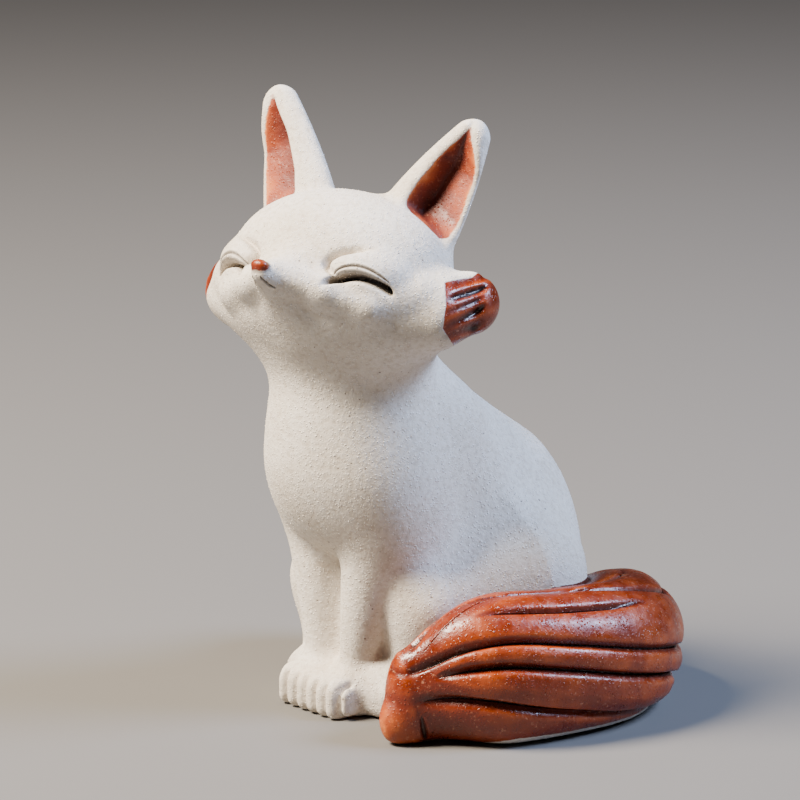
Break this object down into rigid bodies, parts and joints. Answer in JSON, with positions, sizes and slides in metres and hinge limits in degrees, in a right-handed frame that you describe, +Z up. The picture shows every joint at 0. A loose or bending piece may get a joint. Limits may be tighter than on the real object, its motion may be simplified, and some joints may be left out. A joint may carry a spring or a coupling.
{
  "type": "tea pet figurine",
  "caption": "Small seated clay fox with closed eyes, lifted muzzle, cheek tufts and a big furrowed tail curled round its side, made to sit on a tea tray.",
  "frame": {"origin": "on the table, under the middle of the figure's outline box", "axes": "+Z up; the fox's body faces -Y and its tail curls round its left side, +X"},
  "size_m": [0.0422, 0.0456, 0.06],
  "materials": {
    "white_clay": "unglazed sandy white clay, with a red-brown slip on the tail, ears, cheek tufts and nose"
  },
  "bodies": {
    "root": {"fox": "white_clay"}
  },
  "joints": []
}
